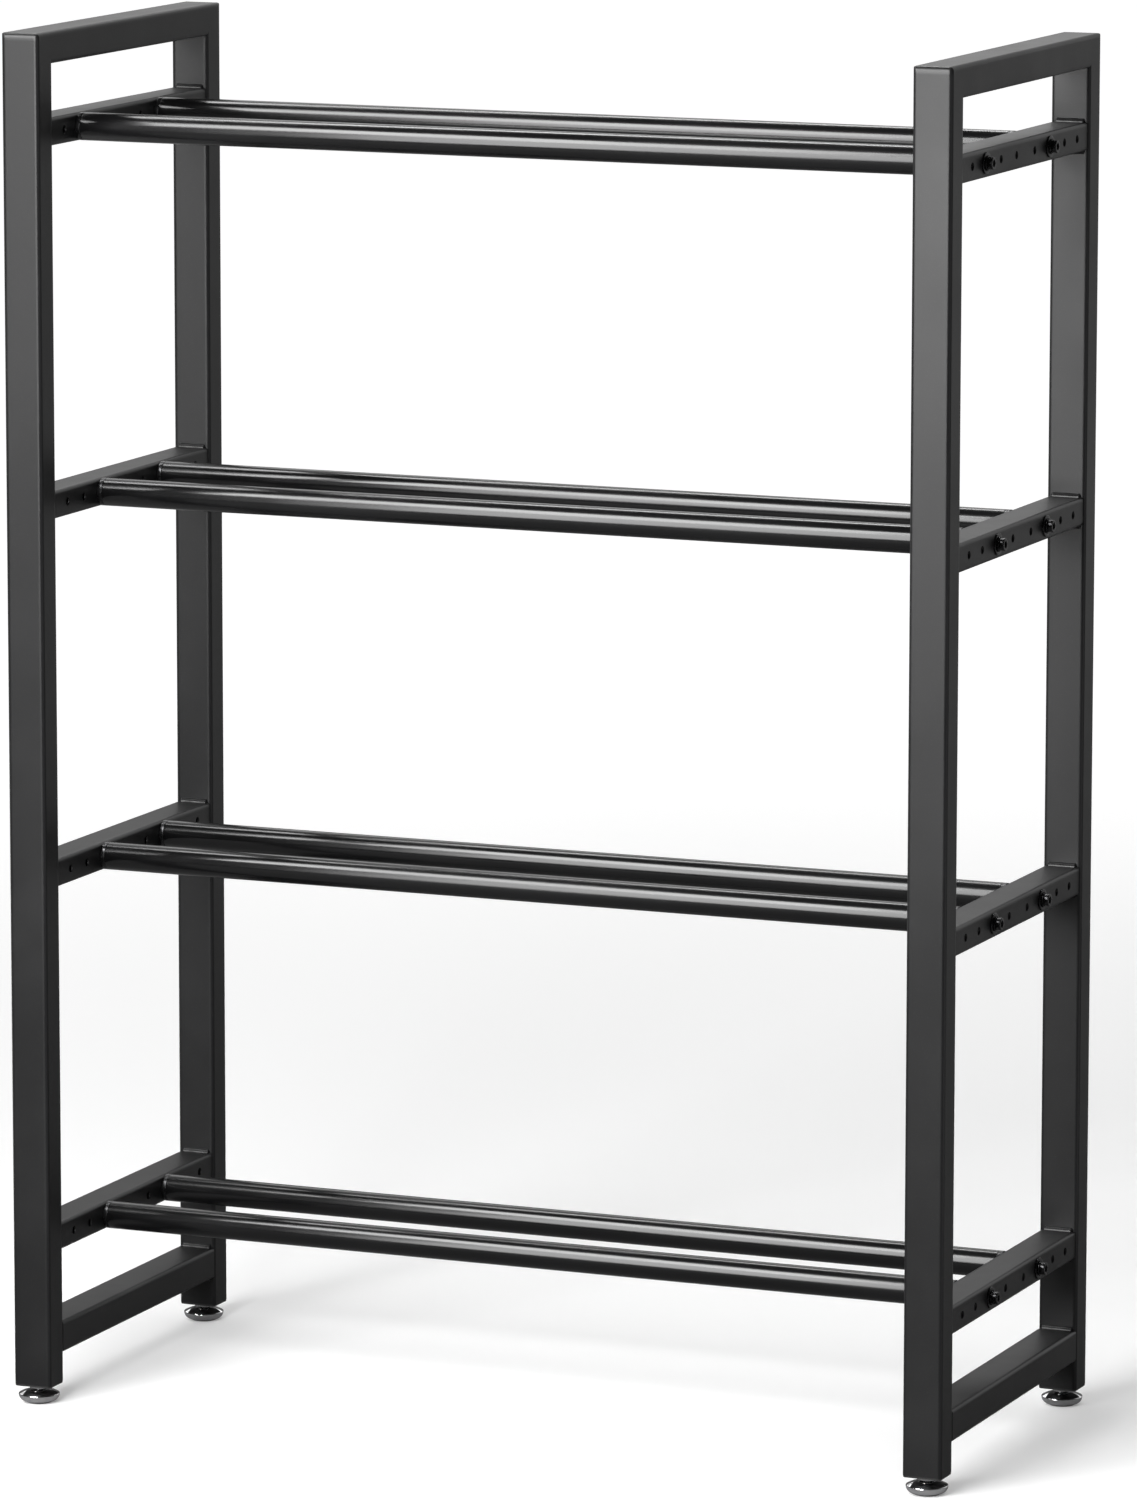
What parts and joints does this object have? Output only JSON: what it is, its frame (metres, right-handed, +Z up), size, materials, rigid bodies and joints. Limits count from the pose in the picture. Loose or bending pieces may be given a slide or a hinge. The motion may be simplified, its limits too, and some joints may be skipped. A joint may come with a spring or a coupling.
{
  "type": "dumbbell rack",
  "caption": "Free-standing tiered dumbbell rack of rectangular steel tube, with a pair of round rails per tier screwed between two welded side frames, on screw-adjustable feet.",
  "frame": {"origin": "on the floor under the middle of the rack, between its four feet", "axes": "+X across the width to the user's right, -Y out of the front, +Z up"},
  "size_m": [0.7996, 0.3434, 1.097],
  "materials": {
    "frame_coat": "satin black powder coat",
    "rail_coat": "semi-gloss black powder coat",
    "black_oxide": "black oxide, lightly oiled",
    "bright_zinc": "bright zinc plating",
    "foot_chrome": "polished chrome plating",
    "black_plastic": "black moulded nylon"
  },
  "bodies": {
    "frame": {"left_front_post": "frame_coat", "left_rear_post": "frame_coat", "left_top_bar": "frame_coat", "left_bottom_bar": "frame_coat", "left_tier_bar_1": "frame_coat", "left_tier_bar_2": "frame_coat", "left_tier_bar_3": "frame_coat", "left_tier_bar_4": "frame_coat", "left_weld_beads": "frame_coat", "left_rail_plugs": "black_oxide", "left_rail_screws": "black_oxide", "left_flat_washers": "black_oxide", "left_spring_washers": "black_oxide", "right_front_post": "frame_coat", "right_rear_post": "frame_coat", "right_top_bar": "frame_coat", "right_bottom_bar": "frame_coat", "right_tier_bar_1": "frame_coat", "right_tier_bar_2": "frame_coat", "right_tier_bar_3": "frame_coat", "right_tier_bar_4": "frame_coat", "right_weld_beads": "frame_coat", "right_rail_plugs": "black_oxide", "right_rail_screws": "black_oxide", "right_flat_washers": "black_oxide", "right_spring_washers": "black_oxide", "front_rail_1": "rail_coat", "front_rail_2": "rail_coat", "front_rail_3": "rail_coat", "front_rail_4": "rail_coat", "rear_rail_1": "rail_coat", "rear_rail_2": "rail_coat", "rear_rail_3": "rail_coat", "rear_rail_4": "rail_coat", "left_front_foot_insert": "black_plastic", "left_front_foot_nut": "bright_zinc", "left_rear_foot_insert": "black_plastic", "left_rear_foot_nut": "bright_zinc", "right_front_foot_insert": "black_plastic", "right_front_foot_nut": "bright_zinc", "right_rear_foot_insert": "black_plastic", "right_rear_foot_nut": "bright_zinc"},
    "left_front_foot": {"left_front_foot_cup": "foot_chrome", "left_front_foot_glide": "black_plastic"},
    "left_front_stud": {"left_front_foot_stud": "bright_zinc"},
    "left_rear_foot": {"left_rear_foot_cup": "foot_chrome", "left_rear_foot_glide": "black_plastic"},
    "left_rear_stud": {"left_rear_foot_stud": "bright_zinc"},
    "right_front_foot": {"right_front_foot_cup": "foot_chrome", "right_front_foot_glide": "black_plastic"},
    "right_front_stud": {"right_front_foot_stud": "bright_zinc"},
    "right_rear_foot": {"right_rear_foot_cup": "foot_chrome", "right_rear_foot_glide": "black_plastic"},
    "right_rear_stud": {"right_rear_foot_stud": "bright_zinc"}
  },
  "joints": [
    {"name": "left_front_foot_height", "type": "slide", "parent": "frame", "child": "left_front_foot", "axis": [0, 0, 1], "range_m": [-0.015, 0]},
    {"name": "left_front_stud_turn", "type": "hinge", "parent": "left_front_foot", "child": "left_front_stud", "pos_m": [-0.37893, -0.1553, 0.012], "axis": [0, 0, 1], "range_deg": [-4321, 0]},
    {"name": "left_rear_foot_height", "type": "slide", "parent": "frame", "child": "left_rear_foot", "axis": [0, 0, 1], "range_m": [-0.015, 0]},
    {"name": "left_rear_stud_turn", "type": "hinge", "parent": "left_rear_foot", "child": "left_rear_stud", "pos_m": [-0.37893, 0.1553, 0.012], "axis": [0, 0, 1], "range_deg": [-4321, 0]},
    {"name": "right_front_foot_height", "type": "slide", "parent": "frame", "child": "right_front_foot", "axis": [0, 0, 1], "range_m": [-0.015, 0]},
    {"name": "right_front_stud_turn", "type": "hinge", "parent": "right_front_foot", "child": "right_front_stud", "pos_m": [0.37893, -0.1553, 0.012], "axis": [0, 0, 1], "range_deg": [-4321, 0]},
    {"name": "right_rear_foot_height", "type": "slide", "parent": "frame", "child": "right_rear_foot", "axis": [0, 0, 1], "range_m": [-0.015, 0]},
    {"name": "right_rear_stud_turn", "type": "hinge", "parent": "right_rear_foot", "child": "right_rear_stud", "pos_m": [0.37893, 0.1553, 0.012], "axis": [0, 0, 1], "range_deg": [-4321, 0]}
  ],
  "couplings": [
    {"joint": "left_front_stud_turn", "follows": "left_front_foot_height", "rad_per_m": 5026.5},
    {"joint": "left_rear_stud_turn", "follows": "left_rear_foot_height", "rad_per_m": 5026.5},
    {"joint": "right_front_stud_turn", "follows": "right_front_foot_height", "rad_per_m": 5026.5},
    {"joint": "right_rear_stud_turn", "follows": "right_rear_foot_height", "rad_per_m": 5026.5}
  ]
}
